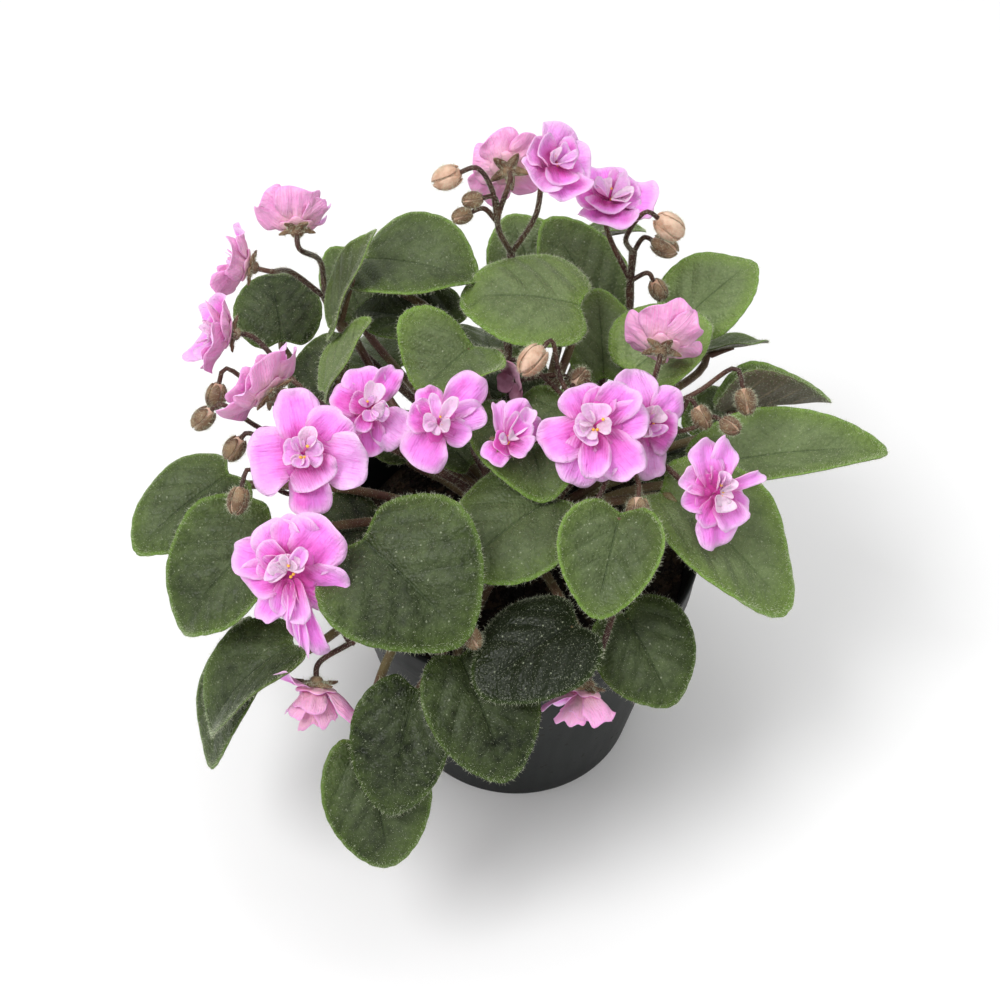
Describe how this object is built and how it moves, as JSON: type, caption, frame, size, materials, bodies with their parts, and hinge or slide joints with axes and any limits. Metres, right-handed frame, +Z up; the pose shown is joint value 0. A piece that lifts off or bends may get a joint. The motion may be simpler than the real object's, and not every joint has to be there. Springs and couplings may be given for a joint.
{
  "type": "potted african violet",
  "caption": "House plant with a rosette of round hairy leaves and pink semi-double flowers above it, growing in a round black nursery pot.",
  "frame": {"origin": "centre of the pot's underside", "axes": "+Z up the pot's axis, -Y towards the front of the plant, +X to the right seen from the front"},
  "size_m": [0.2179, 0.1936, 0.1885],
  "materials": {
    "pot_plastic": "moulded, satin",
    "potting_mix": "crumbly, matt",
    "leaf_stalks": "hairy",
    "flower_stalks": "hairy",
    "leaves": "velvety, hairy",
    "petals": "soft, matt"
  },
  "bodies": {
    "root": {"pot": "pot_plastic", "soil": "potting_mix", "crown": "leaf_stalks", "stalks_back": "flower_stalks", "stalks_left": "flower_stalks", "stalks_right": "flower_stalks", "leaf_left": "leaves", "leaf_left_front": "leaves", "leaf_low_left": "leaves", "leaf_low_left_under": "leaves", "leaf_low_front_under": "leaves", "leaf_low_front": "leaves", "leaf_low_middle": "leaves", "leaf_glossy": "leaves", "leaf_low_right": "leaves", "leaf_pale_front": "leaves", "leaf_right_front": "leaves", "leaf_right_long": "leaves", "leaf_right_folded": "leaves", "leaf_right_back_tip": "leaves", "leaf_back_right_round": "leaves", "leaf_pale_back_right": "leaves", "leaf_back_right_upright": "leaves", "leaf_top_round": "leaves", "leaf_back_middle": "leaves", "leaf_back_far_right": "leaves", "leaf_top_back_left": "leaves", "leaf_edge_on_left": "leaves", "leaf_back_left_far": "leaves", "leaf_back_left_under": "leaves", "leaf_curled_top": "leaves", "leaf_bright_edge": "leaves", "leaf_dark_left": "leaves", "leaf_middle_front": "leaves", "leaf_middle": "leaves", "leaf_heart": "leaves", "leaf_back_dark": "leaves", "leaf_back_left_high": "leaves", "leaf_rear_left": "leaves", "leaf_rear_middle": "leaves", "leaf_rear_right": "leaves", "leaf_rear_side": "leaves", "bloom_top_left": "petals", "bloom_top_middle": "petals", "bloom_top_right": "petals", "bloom_left_high": "petals", "bloom_left_upper": "petals", "bloom_left_lower": "petals", "bloom_left_inner": "petals", "bloom_left_large": "petals", "bloom_middle_left": "petals", "bloom_middle": "petals", "bloom_half_open": "petals", "bloom_right_large": "petals", "bloom_right_behind": "petals", "bloom_right_front": "petals", "bloom_right_back_view": "petals", "bloom_front_left": "petals", "bloom_hanging_left": "petals", "bloom_hanging_front": "petals"}
  },
  "joints": []
}
